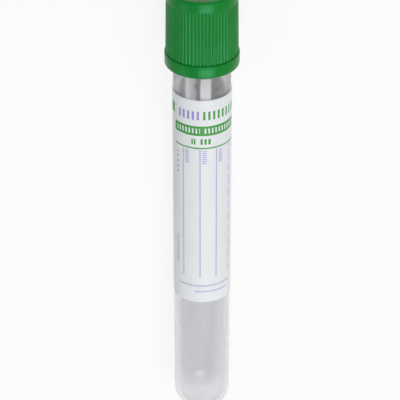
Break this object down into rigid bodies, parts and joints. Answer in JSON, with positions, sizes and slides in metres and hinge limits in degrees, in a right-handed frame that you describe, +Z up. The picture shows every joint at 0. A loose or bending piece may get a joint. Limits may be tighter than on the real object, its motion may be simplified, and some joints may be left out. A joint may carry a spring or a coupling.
{
  "type": "blood collection tube",
  "caption": "Clear plastic blood collection tube with a round end, a paper label, and a fluted green closure with a rubber stopper that pulls off.",
  "frame": {"origin": "on the ground under the middle of the lying tube's length", "axes": "+X towards the cap, level; +Z up; the tube's own axis rises 1.3 degrees from +X because the cap is wider than the round end"},
  "size_m": [0.109, 0.0166, 0.0166],
  "materials": {
    "tube": "slightly frosted clear moulded plastic",
    "label": "coated paper, printed with a green band and thin violet and green rules",
    "dried_additive": "dry, dull droplets",
    "stopper": "smooth moulded rubber",
    "cap": "satin moulded plastic"
  },
  "bodies": {
    "tube": {"tube": "tube", "label": "label", "dried_additive": "dried_additive"},
    "closure": {"stopper": "stopper", "cap": "cap"}
  },
  "joints": [
    {"name": "closure_pull", "type": "slide", "parent": "tube", "child": "closure", "axis": [0.9997, 0, 0.0229], "range_m": [0, 0.035]}
  ]
}
